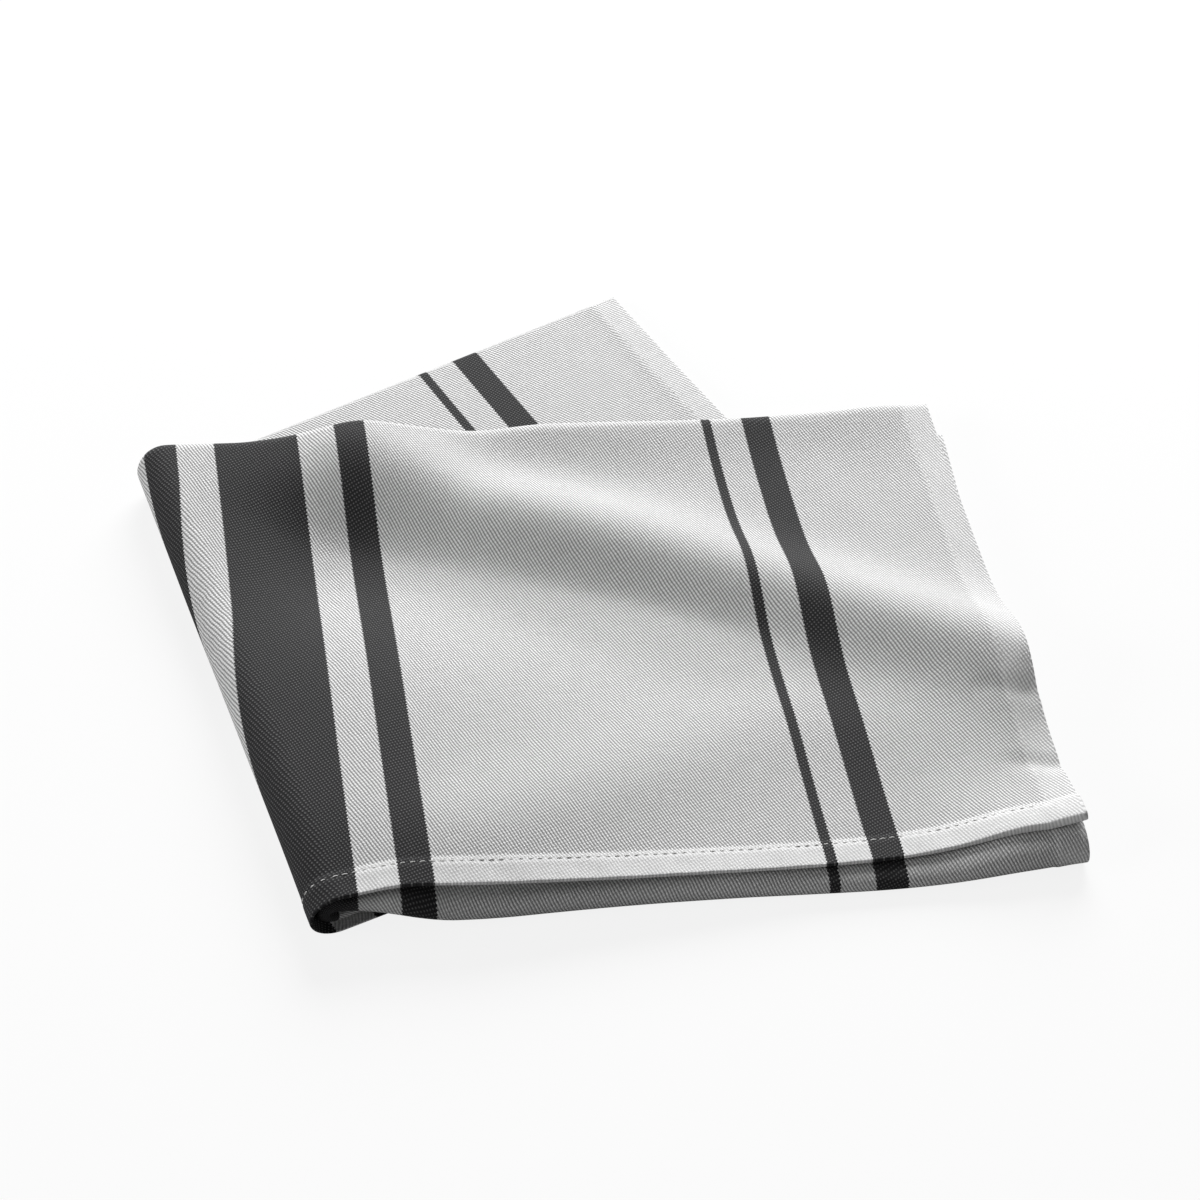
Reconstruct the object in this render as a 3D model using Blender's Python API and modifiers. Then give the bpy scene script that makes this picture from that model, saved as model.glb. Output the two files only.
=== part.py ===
"""A striped tea towel, folded and lying flat on a surface.

The towel is one sheet. It is folded in three along its length, so that a packet has a top layer with the
stitched end hem in front, a middle layer, and a bottom layer. The packet is then folded in half, with the
left half turned under the right one on a slightly slanted line. So the upper half shows its top layer, and
the lower half sticks out behind it as a triangle.

A point of the sheet goes through two steps. The first places it in the flat packet: across, along, and a
level that is 1 on the top layer and 0 on the bottom layer. The second gives the level its height over the
surface and bends the packet about the fold line. Each step keeps the order of the layers, so that the
layers stay apart.
"""

from typing import NamedTuple

import bmesh
import bpy
import numpy as np

NAME = "towel"
MM = 0.001

# The sheet, in millimetres. Places across it are counted from the middle of its wide stripe.
LEFT_EDGE = -253.0
RIGHT_EDGE = 250.0
CLOTH_LENGTH = 690.0
CLOTH_THICKNESS = 1.0
LAYER_PITCH = 1.5
LAYER_SLACK = 0.5
PRESSED_ROUNDING = 1.0

# The fold in three. Places along the packet are counted from the front hem of its top layer.
BACK_TURN_AT = 228.0
BACK_TURN_DEPTH = 5.5
BACK_TURN_PRESSED_DEPTH = 2.2
BACK_TURN_CLOTH = 12.0
BACK_SKEW = 23.0
BACK_SKEW_FROM = -5.0
FRONT_TURN_DEPTH = 4.4
FRONT_TURN_SIDE_DEPTH = 8.0
FRONT_TURN_PRESSED_DEPTH = 0.9
FRONT_TURN_CLOTH = 13.0
FRONT_TURN_SIDE_CLOTH = 20.0
FRONT_TURN_HEIGHT = 8.6
FRONT_TURN_SIDE_HEIGHT = 11.5
FRONT_TURN_RISE_FROM = 120.0
FRONT_TURN_CLEARANCE = 1.7
FRONT_TURN_ROUNDING = 0.5
FRONT_TURN_SOFT_START = -5.0
FRONT_TURN_SOFT_END = 25.0
ROLL_FADE_START = 15.0
ROLL_FADE_END = 60.0
MIDDLE_LEVEL = 0.5
MIDDLE_SHIFT = 3.0
MIDDLE_SHIFT_FROM = 150.0

# The fold in half: its line crosses the front hem's line at FOLD_AT and leans to the left going back.
FOLD_AT = 10.5
FOLD_LEAN = np.radians(9.8)
OUTER_REACH = 10.4
INNER_REACH = 4.0
OUTER_CLOTH = 27.0
INNER_CLOTH = 24.6

# The top layer's height at the fold and at the right edge, and where it falls from one to the other.
FOLD_HEIGHT = 22.0
SIDE_HEIGHT = 9.0
FALL_START = 0.0
FALL_END = 190.0

# How much of the relief the bottom layer follows, and how the packet steps down off the lower half.
BOTTOM_SHARE = 0.7
BOTTOM_RISE_START = 4.0
BOTTOM_RISE_END = 60.0
FOLD_SHARE = 0.5
FOLD_SHARE_WIDTH = 35.0
SIDE_STEP_START = 9.0
SIDE_STEP_END = 31.0
FRONT_STEP_START = 2.0
FRONT_STEP_END = 22.0

# How far the relief draws the cloth in at the back, and where that fades out across it.
DRAWN_IN = 2.5
DRAWN_IN_FROM = 20.0
DRAWN_IN_TO = 130.0

# The middle of the towel's footprint, in the same places.
MIDDLE_ACROSS = 106.1
MIDDLE_ALONG = 157.1


class Crease(NamedTuple):
    """A soft ridge of the top layer, or a trough where its heights are negative, between two places."""

    from_across: float
    from_along: float
    to_across: float
    to_along: float
    from_height: float
    to_height: float
    front_width: float
    back_width: float


CREASES = [
    Crease(42, 220, 250, 84, 6, 13, 22, 22),
    Crease(36, 214, 40, 236, 1, 2, 14, 22),
    Crease(30, 168, 150, 118, -11, -3, 46, 24),
    Crease(84, 208, 160, 188, -5, 0, 22, 22),
    Crease(110, 236, 225, 236, 4, 4, 24, 20),
    Crease(-45, 0, 90, 0, -5, -1, 24, 24),
    Crease(55, 22, 160, 70, 3, 2, 24, 24),
    Crease(205, 66, 256, 56, 2, 3, 24, 24),
    Crease(238, 0, 256, 0, 6, 11, 26, 26),
]


class Bow(NamedTuple):
    """A stretch of an edge that is bowed back, or forward where it is negative, about its middle."""

    middle: float
    reach: float
    back: float


HEM_BOWS = [Bow(28, 18, 3), Bow(235, 25, 2)]
BACK_TURN_BOWS = [Bow(205, 60, -4)]
FRONT_TURN_BOWS = [Bow(190, 70, -7.5)]


class Run(NamedTuple):
    """One stretch of the sheet's rows of faces, in the order in which the sheet runs through them."""

    top: int
    back_turn: int
    bottom: int
    front_turn: int
    middle: int


class Band(NamedTuple):
    """One band of the sheet's columns of faces: how many there are, and the place where they begin."""

    columns: int
    start: float


ROWS = Run(top=16, back_turn=8, bottom=16, front_turn=8, middle=14)
FOLD_LEFT = -26.0
FOLD_RIGHT = 12.0
BANDS = [Band(8, LEFT_EDGE), Band(11, FOLD_LEFT), Band(10, FOLD_RIGHT), Band(8, 185.0)]


def smooth_step(value, start, end):
    """Rise from 0 at start to 1 at end, level at both ends."""
    share = np.clip((value - start) / (end - start), 0.0, 1.0)
    return share * share * (3.0 - 2.0 * share)


def bowed(across, bows):
    """How far back an edge lies at a place across the towel: its bows, each shaped like a bell."""
    return sum(bow.back * np.exp(-(((across - bow.middle) / bow.reach) ** 2)) for bow in bows)


def smooth_larger(first, second, width):
    """The larger of two heights, with the corner between them rounded."""
    gap = first - second
    return 0.5 * (first + second + np.sqrt(gap * gap + width * width))


def crease_height(crease, across, along):
    """A crease's share of the height: a bell to both sides of its line, dying out past the line's ends."""
    run = np.array([crease.to_across - crease.from_across, crease.to_along - crease.from_along], float)
    reach = np.hypot(*run)
    run = run / reach
    right, back = across - crease.from_across, along - crease.from_along
    onward = right * run[0] + back * run[1]
    aside = back * run[0] - right * run[1]
    beyond = np.maximum(np.maximum(-onward, onward - reach), 0.0)
    width = np.where(aside > 0.0, crease.back_width, crease.front_width)
    end_width = 0.5 * (crease.front_width + crease.back_width)
    height = crease.from_height + (crease.to_height - crease.from_height) * np.clip(onward / reach, 0.0, 1.0)
    return height * np.exp(-((aside / width) ** 2) - (beyond / end_width) ** 2)


def relief(across, along):
    """The top layer's height: it falls from the fold to the right, and the creases are added to it."""
    along = np.clip(along, 0.0, BACK_TURN_AT)
    fall = smooth_step(across, FALL_START, FALL_END)
    height = FOLD_HEIGHT + (SIDE_HEIGHT - FOLD_HEIGHT) * fall
    return height + sum(crease_height(crease, across, along) for crease in CREASES)


def to_fold(across, along):
    """Distance to the right of the fold line, and distance along it."""
    cosine, sine = np.cos(FOLD_LEAN), np.sin(FOLD_LEAN)
    return (across - FOLD_AT) * cosine + along * sine, along * cosine - (across - FOLD_AT) * sine


def from_fold(beside, onward):
    """The place that is a distance to the right of the fold line and a distance along it."""
    cosine, sine = np.cos(FOLD_LEAN), np.sin(FOLD_LEAN)
    return FOLD_AT + beside * cosine - onward * sine, beside * sine + onward * cosine


def towards_side(across, usual, side):
    """A size of the front turn: the usual one, which changes to another one at the right edge."""
    return usual + (side - usual) * smooth_step(across, FRONT_TURN_RISE_FROM, RIGHT_EDGE)


def layer_heights(across, along):
    """Heights of the upper half's bottom and top layers, and the middle layer's level between them."""
    beside, onward = to_fold(across, along)
    under_across, under_along = from_fold(-beside - INNER_CLOTH, onward)
    past_side = smooth_step(LEFT_EDGE - under_across, SIDE_STEP_START, SIDE_STEP_END)
    past_front = smooth_step(-under_along, FRONT_STEP_START, FRONT_STEP_END)
    covered = (1.0 - past_side) * (1.0 - past_front)
    lowest = 0.5 * CLOTH_THICKNESS + 3.0 * LAYER_PITCH * covered
    pressed = lowest + 2.0 * LAYER_PITCH + LAYER_SLACK
    top = smooth_larger(relief(across, along) - 0.5 * CLOTH_THICKNESS, pressed, PRESSED_ROUNDING)
    loose = 1.0 - BOTTOM_SHARE * smooth_step(along, BOTTOM_RISE_START, BOTTOM_RISE_END)
    loose = loose * (1.0 - FOLD_SHARE * (1.0 - smooth_step(beside, 0.0, FOLD_SHARE_WIDTH)))
    bottom = lowest + (1.0 - loose) * (top - pressed)
    room = top - bottom
    roll = towards_side(across, FRONT_TURN_HEIGHT, FRONT_TURN_SIDE_HEIGHT)
    roll = -smooth_larger(-roll, FRONT_TURN_CLEARANCE - room, FRONT_TURN_ROUNDING)
    near_front = 1.0 - smooth_step(along, ROLL_FADE_START, ROLL_FADE_END)
    near_front = near_front * smooth_step(beside, 0.0, FRONT_TURN_SOFT_END)
    level = MIDDLE_LEVEL * (1.0 - near_front) + roll / room * near_front
    return bottom, top, level


def turn_depth(across, along, pressed, soft, pressed_until, soft_from):
    """How deep a turn is: pressed on the lower half, and soft on the upper half past the fold line."""
    beside, _ = to_fold(across, along)
    return pressed + (soft - pressed) * smooth_step(beside, pressed_until, soft_from)


def packet_place(across, row):
    """Where a point of the sheet lies in the flat packet: its place along, its turn, and its layer.

    The level is a blend: its first part counts fully, and its second part is a share of the middle
    layer's level, which isn't the same everywhere.
    """
    skewed = np.clip((BACK_SKEW_FROM - across) / (BACK_SKEW_FROM - LEFT_EDGE), 0.0, 1.0)
    back = BACK_TURN_AT + bowed(across, BACK_TURN_BOWS) + BACK_SKEW * skewed
    soft_depth = towards_side(across, FRONT_TURN_DEPTH, FRONT_TURN_SIDE_DEPTH)
    front = bowed(across, FRONT_TURN_BOWS) + soft_depth
    hem = bowed(across, HEM_BOWS)
    back_depth = turn_depth(across, back, BACK_TURN_PRESSED_DEPTH, BACK_TURN_DEPTH, -OUTER_CLOTH, 0.0)
    front_depth = turn_depth(across, front, FRONT_TURN_PRESSED_DEPTH, soft_depth,
                             FRONT_TURN_SOFT_START, FRONT_TURN_SOFT_END)
    turns = BACK_TURN_CLOTH + towards_side(across, FRONT_TURN_CLOTH, FRONT_TURN_SIDE_CLOTH)
    middle_length = CLOTH_LENGTH - (back - hem) - (back - front) - turns

    starts = np.cumsum((0,) + ROWS)
    shares = [np.clip((row - start) / count, 0.0, 1.0) for start, count in zip(starts, ROWS)]
    top, back_turn, bottom, front_turn, middle = shares
    along = np.select(
        [row < starts[1], row < starts[2], row < starts[3], row < starts[4]],
        [
            hem + (back - hem) * top,
            back + back_depth * np.sin(np.pi * back_turn),
            back + (front - back) * bottom,
            front - front_depth * np.sin(np.pi * front_turn),
        ],
        front + middle_length * middle,
    )
    whole_level = 0.5 * (1.0 + np.cos(np.pi * back_turn))
    middle_share = 0.5 * (1.0 - np.cos(np.pi * front_turn))
    slipped = MIDDLE_SHIFT * (row > starts[3]) * smooth_step(along, MIDDLE_SHIFT_FROM, BACK_TURN_AT)
    slipped = slipped * smooth_step(across, MIDDLE_SHIFT_FROM, RIGHT_EDGE)
    return along, whole_level, middle_share, slipped


def drawn_in(across, along):
    """How far the cloth is drawn to the right near the fold's back end, where its relief takes up width."""
    near_fold = 1.0 - smooth_step(across, DRAWN_IN_FROM, DRAWN_IN_TO)
    return DRAWN_IN * near_fold * smooth_step(along, 0.0, BACK_TURN_AT)


def folded(across, row):
    """The folded place, in millimetres, of the sheet's point at a place across and a row."""
    along, whole_level, middle_share, slipped = packet_place(across, row)
    across = across + drawn_in(across, along) + slipped
    beside, onward = to_fold(across, along)

    bottom, top, middle_level = layer_heights(across, along)
    upper_height = bottom + (top - bottom) * (whole_level + middle_level * middle_share)

    level = whole_level + MIDDLE_LEVEL * middle_share
    line_across, line_along = from_fold(np.zeros_like(onward), onward)
    bottom, top, _ = layer_heights(line_across, line_along)
    fold_height = bottom + (top - bottom) * level
    lower_height = 0.5 * CLOTH_THICKNESS + 2.0 * LAYER_PITCH * (1.0 - level)

    reach = INNER_REACH + (OUTER_REACH - INNER_REACH) * level
    cloth = INNER_CLOTH + (OUTER_CLOTH - INNER_CLOTH) * level
    angle = np.pi * np.clip(-beside / cloth, 0.0, 1.0)
    bend_height = 0.5 * (fold_height + lower_height) + 0.5 * (fold_height - lower_height) * np.cos(angle)

    on_upper = beside >= 0.0
    on_bend = ~on_upper & (-beside < cloth)
    beside = np.where(on_upper, beside, np.where(on_bend, -reach * np.sin(angle), -beside - cloth))
    height = np.where(on_upper, upper_height, np.where(on_bend, bend_height, lower_height))
    folded_across, folded_along = from_fold(beside, onward)
    return folded_across - MIDDLE_ACROSS, folded_along - MIDDLE_ALONG, height


def column_place(column, row):
    """The place across the sheet of a column, which follows the fold line near the fold."""
    starts = np.cumsum([0] + [band.columns for band in BANDS])
    across = np.interp(column, starts, [band.start for band in BANDS] + [RIGHT_EDGE])
    along = packet_place(across, row)[0]
    near = np.clip(np.minimum((across - LEFT_EDGE) / (FOLD_LEFT - LEFT_EDGE),
                              (RIGHT_EDGE - across) / (RIGHT_EDGE - FOLD_RIGHT)), 0.0, 1.0)
    return across - np.tan(FOLD_LEAN) * along * near


def build_sheet():
    """The towel's flat grid of faces, moved to its folded shape."""
    columns = sum(band.columns for band in BANDS)
    rows = sum(ROWS)
    mesh = bpy.data.meshes.new(NAME)
    grid = bmesh.new()
    bmesh.ops.create_grid(grid, x_segments=columns, y_segments=rows, size=0.5)
    grid.to_mesh(mesh)
    grid.free()

    points = np.empty(len(mesh.vertices) * 3, np.float32)
    mesh.vertices.foreach_get("co", points)
    points = points.reshape(-1, 3).astype(float)
    column = (points[:, 0] + 0.5) * columns
    row = (points[:, 1] + 0.5) * rows
    across = column_place(column, row)
    points = np.stack(folded(across, row), axis=1) * MM
    mesh.vertices.foreach_set("co", points.astype(np.float32).ravel())
    mesh.shade_smooth()
    mesh.update()
    return mesh


def woven_cotton():
    """Matte light grey cotton."""
    material = bpy.data.materials.new("woven_cotton")
    material.use_nodes = True
    shader = material.node_tree.nodes["Principled BSDF"]
    shader.inputs["Base Color"].default_value = (0.72, 0.72, 0.72, 1.0)
    shader.inputs["Roughness"].default_value = 0.9
    shader.inputs["Metallic"].default_value = 0.0
    return material


def build():
    """Clear the scene and make the towel in a collection of its own."""
    for old in list(bpy.data.objects):
        bpy.data.objects.remove(old, do_unlink=True)
    collection = bpy.data.collections.new("folded_tea_towel")
    bpy.context.scene.collection.children.link(collection)
    towel = bpy.data.objects.new(NAME, build_sheet())
    collection.objects.link(towel)
    towel.data.materials.append(woven_cotton())
    thickness = towel.modifiers.new("cloth_thickness", "SOLIDIFY")
    thickness.thickness = CLOTH_THICKNESS * MM
    thickness.offset = 0.0


build()
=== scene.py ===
"""Looks of a folded, striped cotton tea towel.

The towel is one sheet of twill with four stitched hems. It is folded in three along its length and then in
half on a slightly slanted line, so that the left half lies under the right one and sticks out behind it as a
triangle. A point of the sheet is first placed in the flat packet, and then lifted and bent to its folded
place, so that the layers keep their order and never cross. Lengths inside the classes are in millimetres;
meshes, lights and the camera are in metres.
"""

import logging
from dataclasses import dataclass
from enum import Enum
from typing import NamedTuple

import bpy
import numpy as np
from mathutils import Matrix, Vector
from numpy.typing import NDArray


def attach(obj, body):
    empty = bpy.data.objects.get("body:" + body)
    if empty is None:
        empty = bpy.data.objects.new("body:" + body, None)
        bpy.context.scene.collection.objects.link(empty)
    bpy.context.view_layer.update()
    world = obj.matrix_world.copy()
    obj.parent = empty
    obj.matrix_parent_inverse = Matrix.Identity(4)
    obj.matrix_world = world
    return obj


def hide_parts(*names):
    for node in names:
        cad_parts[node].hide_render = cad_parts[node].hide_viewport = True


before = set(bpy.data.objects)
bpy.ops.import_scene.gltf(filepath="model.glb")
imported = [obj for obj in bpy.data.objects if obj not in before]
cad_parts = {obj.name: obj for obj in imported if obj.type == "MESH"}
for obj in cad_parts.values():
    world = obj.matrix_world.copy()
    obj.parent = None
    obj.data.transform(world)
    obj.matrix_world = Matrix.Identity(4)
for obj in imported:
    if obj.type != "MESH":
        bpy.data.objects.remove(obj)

Array = NDArray[np.float64]
Colour = tuple[float, float, float, float]
Scales = tuple[float, float, float]
Socket = bpy.types.NodeSocket
MM = 0.001
# The Mix node's sockets for colours, by place, because those for numbers have the same names.
MIX_FIRST, MIX_SECOND, MIX_RESULT = 6, 7, 2
LOG = logging.getLogger("towel")


class Crease(NamedTuple):
    """A soft ridge of the top layer, or a trough where its heights are negative, between two places."""

    from_across: float
    from_along: float
    to_across: float
    to_along: float
    from_height: float
    to_height: float
    front_width: float
    back_width: float


class Bow(NamedTuple):
    """A stretch of an edge that is bowed back, or forward where it is negative, about its middle."""

    middle: float
    reach: float
    back: float


class Span(NamedTuple):
    """Where a smooth change begins and where it is done."""

    start: float
    end: float


class Stripe(NamedTuple):
    """One pair of mirrored stripes: how far its middle is from the towel's middle line, and its width."""

    middle: float
    width: float


class Band(NamedTuple):
    """A run of grid lines: how many faces it has, and the place where it begins."""

    faces: int
    start: float


class Blend(Enum):
    """How a second colour acts on the first."""

    MIX = "MIX"
    MULTIPLY = "MULTIPLY"


class Stretch(Enum):
    """The stretches of the sheet in the order in which its length runs through them."""

    TOP = 0
    BACK_TURN = 1
    BOTTOM = 2
    FRONT_TURN = 3
    MIDDLE = 4


CREASES = (
    Crease(42, 220, 250, 84, 6, 13, 20, 22),
    Crease(36, 214, 40, 236, 1, 2, 14, 22),
    Crease(30, 174, 150, 120, -12, -4, 48, 24),
    Crease(84, 208, 160, 188, -5, 0, 22, 22),
    Crease(110, 236, 225, 236, 4, 4, 24, 20),
    Crease(-45, 0, 90, 0, -5, -1, 24, 24),
    Crease(55, 22, 160, 70, 3, 2, 24, 24),
    Crease(205, 66, 256, 56, 2, 3, 24, 24),
    Crease(238, 0, 256, 0, 6, 11, 26, 26),
)
PUCKERS = (
    Crease(234, 70, 247, 64, -0.8, -1.2, 3.5, 3.5),
    Crease(237, 36, 249, 31, -0.9, -1.3, 3.5, 3.5),
)
HEM_BOWS = (Bow(28, 18, 3), Bow(235, 25, 2))
BACK_TURN_BOWS = (Bow(205, 60, -4),)
FRONT_TURN_BOWS = (Bow(210, 80, -8),)
STRIPES = (Stripe(0, 30), Stripe(34, 11), Stripe(167, 3.5), Stripe(185.5, 10.5))
RIPPLE_SINES = 5
RIPPLE_LENGTHS = Span(0.6, 1.7)
RIPPLE_HEIGHT = 3.0


def smooth_step(value: Array, start: float, end: float) -> Array:
    """Rise from 0 at start to 1 at end, level at both ends, as 3s^2 - 2s^3 of the share s.

    Args:
        value: Places to look up.
        start: Place where the rise begins.
        end: Place where the rise ends.

    Returns:
        The risen share at each place.
    """
    share = np.clip((value - start) / (end - start), 0.0, 1.0)
    return share * share * (3.0 - 2.0 * share)


def bowed(across: Array, bows: tuple[Bow, ...]) -> Array:
    """How far back an edge lies at each place across the towel: its bows, each shaped like a bell."""
    return sum(bow.back * np.exp(-(((across - bow.middle) / bow.reach) ** 2)) for bow in bows)


def smooth_larger(first: Array, second: Array, width: float) -> Array:
    """The larger of two heights, with the corner between them rounded over a width."""
    gap = first - second
    return 0.5 * (first + second + np.sqrt(gap * gap + width * width))


def ripple(place: Array, wavelength: float, seed: int) -> Array:
    """An uneven wave from about -1 to 1: five sines with seeded lengths and phases, added together.

    Args:
        place: Places along the wave.
        wavelength: Its middle wavelength, in the same unit.
        seed: Seed of its lengths and phases.

    Returns:
        The wave at each place.
    """
    random = np.random.default_rng(seed)
    lengths = wavelength * random.uniform(*RIPPLE_LENGTHS, RIPPLE_SINES)
    phases = random.uniform(0.0, 2.0 * np.pi, RIPPLE_SINES)
    waves = np.sin(2.0 * np.pi * place[..., None] / lengths + phases)
    return waves.sum(axis=-1) / RIPPLE_HEIGHT


def unit(vectors: Array) -> Array:
    """The vectors at length 1."""
    return vectors / np.maximum(np.linalg.norm(vectors, axis=-1, keepdims=True), 1e-12)


@dataclass(frozen=True)
class TowelFold:
    """How the flat sheet is folded: its sizes, and the way from a place on it to a place in space."""

    left_edge: float = -253.0
    right_edge: float = 250.0
    length: float = 690.0
    solid_thickness: float = 1.0
    layer_pitch: float = 1.5
    layer_slack: float = 0.5
    back_turn_at: float = 228.0
    back_turn_depth: float = 5.5
    back_turn_pressed_depth: float = 2.2
    back_turn_cloth: float = 12.0
    back_skew: float = 23.0
    back_skew_from: float = -5.0
    front_turn_depth: float = 4.4
    front_turn_side_depth: float = 9.0
    front_turn_pressed_depth: float = 0.9
    front_turn_cloth: float = 13.0
    front_turn_side_cloth: float = 20.0
    front_turn_height: float = 8.6
    front_turn_side_height: float = 11.5
    front_turn_rise_from: float = 120.0
    front_turn_clearance: float = 1.7
    front_turn_rounding: float = 0.5
    front_turn_opening: Span = Span(-5.0, 25.0)
    front_turn_fade: Span = Span(15.0, 60.0)
    front_turn_swell: Span = Span(0.0, 25.0)
    middle_level: float = 0.5
    middle_shift: float = 3.0
    shift_along: Span = Span(150.0, 228.0)
    shift_across: Span = Span(150.0, 250.0)
    fold_at: float = 10.5
    fold_lean: float = float(np.radians(9.8))
    outer_reach: float = 10.4
    inner_reach: float = 4.0
    outer_cloth: float = 27.0
    inner_cloth: float = 24.6
    bottom_share: float = 0.7
    bottom_rise: Span = Span(4.0, 60.0)
    fold_share: float = 0.5
    fold_share_width: float = 35.0
    side_step: Span = Span(9.0, 31.0)
    front_step: Span = Span(2.0, 22.0)
    covered_layers: float = 3.0
    pressed_rounding: float = 1.0
    fold_height: float = 22.0
    side_height: float = 9.0
    fall: Span = Span(0.0, 190.0)
    drawn_in_by: float = 2.5
    drawn_in_over: Span = Span(20.0, 130.0)
    middle_across: float = 106.1
    middle_along: float = 157.1

    def relief(self, across: Array, along: Array) -> Array:
        """The top layer's height: it falls from the fold to the right, and the creases are added to it.

        Args:
            across: Places across the sheet.
            along: Places along the packet, from the hem's line.

        Returns:
            Height over the surface, at the cloth's upper face.
        """
        along = np.clip(along, 0.0, self.back_turn_at)
        fall = smooth_step(across, *self.fall)
        height = self.fold_height + (self.side_height - self.fold_height) * fall
        return height + sum(self.crease_height(crease, across, along) for crease in CREASES + PUCKERS)

    def crease_height(self, crease: Crease, across: Array, along: Array) -> Array:
        """A crease's share of the height: a bell to both sides of its line, dying out past its ends.

        Args:
            crease: The crease.
            across: Places across the sheet.
            along: Places along the packet.

        Returns:
            The height that the crease adds.
        """
        run = np.array([crease.to_across - crease.from_across, crease.to_along - crease.from_along], float)
        reach = float(np.hypot(*run))
        run = run / reach
        right, back = across - crease.from_across, along - crease.from_along
        onward = right * run[0] + back * run[1]
        aside = back * run[0] - right * run[1]
        beyond = np.maximum(np.maximum(-onward, onward - reach), 0.0)
        width = np.where(aside > 0.0, crease.back_width, crease.front_width)
        end_width = 0.5 * (crease.front_width + crease.back_width)
        share = np.clip(onward / reach, 0.0, 1.0)
        height = crease.from_height + (crease.to_height - crease.from_height) * share
        return height * np.exp(-((aside / width) ** 2) - (beyond / end_width) ** 2)

    def to_fold(self, across: Array, along: Array) -> tuple[Array, Array]:
        """Measure a place on the packet from the fold line.

        Args:
            across: Places across the sheet.
            along: Places along the packet.

        Returns:
            Distance to the right of the fold line, and distance along it.
        """
        cosine, sine = np.cos(self.fold_lean), np.sin(self.fold_lean)
        right = across - self.fold_at
        return right * cosine + along * sine, along * cosine - right * sine

    def from_fold(self, beside: Array, onward: Array) -> tuple[Array, Array]:
        """The place that is a distance to the right of the fold line and a distance along it."""
        cosine, sine = np.cos(self.fold_lean), np.sin(self.fold_lean)
        return self.fold_at + beside * cosine - onward * sine, beside * sine + onward * cosine

    def towards_side(self, across: Array, usual: float, side: float) -> Array:
        """A size of the front turn: the usual one, which changes to another one at the right edge."""
        return usual + (side - usual) * smooth_step(across, self.front_turn_rise_from, self.right_edge)

    def layer_heights(self, across: Array, along: Array) -> tuple[Array, Array, Array]:
        """Heights of the upper half's layers.

        Args:
            across: Places across the sheet.
            along: Places along the packet.

        Returns:
            The bottom layer's height, the top layer's, and the middle layer's level between them.
        """
        beside, onward = self.to_fold(across, along)
        under_across, under_along = self.from_fold(-beside - self.inner_cloth, onward)
        past_side = smooth_step(self.left_edge - under_across, *self.side_step)
        past_front = smooth_step(-under_along, *self.front_step)
        covered = (1.0 - past_side) * (1.0 - past_front)
        lowest = 0.5 * self.solid_thickness + self.covered_layers * self.layer_pitch * covered
        pressed = lowest + 2.0 * self.layer_pitch + self.layer_slack
        middle_of_top = self.relief(across, along) - 0.5 * self.solid_thickness
        top = smooth_larger(middle_of_top, pressed, self.pressed_rounding)
        loose = 1.0 - self.bottom_share * smooth_step(along, *self.bottom_rise)
        near_fold = 1.0 - smooth_step(beside, 0.0, self.fold_share_width)
        loose = loose * (1.0 - self.fold_share * near_fold)
        bottom = lowest + (1.0 - loose) * (top - pressed)
        room = top - bottom
        roll = self.towards_side(across, self.front_turn_height, self.front_turn_side_height)
        roll = -smooth_larger(-roll, self.front_turn_clearance - room, self.front_turn_rounding)
        near_front = 1.0 - smooth_step(along, *self.front_turn_fade)
        near_front = near_front * smooth_step(beside, *self.front_turn_swell)
        level = self.middle_level * (1.0 - near_front) + roll / room * near_front
        return bottom, top, level

    def underside(self, across: Array, along: Array, whole_level: Array) -> Array:
        """1 where the top layer has passed the fold and lies on the surface, and 0 where it is open."""
        beside, _ = self.to_fold(across, along)
        return whole_level * (1.0 - smooth_step(beside, -self.outer_cloth, 0.0))

    def turn_depth(self, across: Array, along: Array, pressed: float, soft: "Array | float",
                   change: Span) -> Array:
        """How deep a turn is: pressed on the lower half, and soft on the upper half past the fold line.

        Args:
            across: Places across the sheet.
            along: Places along the packet.
            pressed: Depth on the lower half.
            soft: Depth on the upper half.
            change: Distances beside the fold line between which it changes from pressed to soft.

        Returns:
            The turn's depth at each place.
        """
        beside, _ = self.to_fold(across, along)
        return pressed + (soft - pressed) * smooth_step(beside, *change)

    def packet_place(self, across: Array, shares: Array) -> tuple[Array, Array, Array, Array, Array]:
        """Where points of the sheet lie in the flat packet.

        Args:
            across: Places across the sheet.
            shares: How much of each stretch is behind the point, one row per stretch.

        Returns:
            Place along the packet, whole level, share of the middle layer's level, slip to the right,
            and place along the sheet from its front hem.
        """
        top, back_turn, bottom, front_turn, middle = shares
        skewed = (self.back_skew_from - across) / (self.back_skew_from - self.left_edge)
        back = self.back_turn_at + bowed(across, BACK_TURN_BOWS) + self.back_skew * np.clip(skewed, 0.0, 1.0)
        soft_depth = self.towards_side(across, self.front_turn_depth, self.front_turn_side_depth)
        front = bowed(across, FRONT_TURN_BOWS) + soft_depth
        hem = bowed(across, HEM_BOWS)
        back_depth = self.turn_depth(across, back, self.back_turn_pressed_depth, self.back_turn_depth,
                                     Span(-self.outer_cloth, 0.0))
        front_depth = self.turn_depth(across, front, self.front_turn_pressed_depth, soft_depth,
                                      self.front_turn_opening)
        front_cloth = self.towards_side(across, self.front_turn_cloth, self.front_turn_side_cloth)
        turns = self.back_turn_cloth + front_cloth
        middle_length = self.length - (back - hem) - (back - front) - turns
        along = np.select(
            [back_turn <= 0.0, bottom <= 0.0, front_turn <= 0.0, middle <= 0.0],
            [
                hem + (back - hem) * top,
                back + back_depth * np.sin(np.pi * back_turn),
                back + (front - back) * bottom,
                front - front_depth * np.sin(np.pi * front_turn),
            ],
            front + middle_length * middle,
        )
        whole_level = 0.5 * (1.0 + np.cos(np.pi * back_turn))
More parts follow.
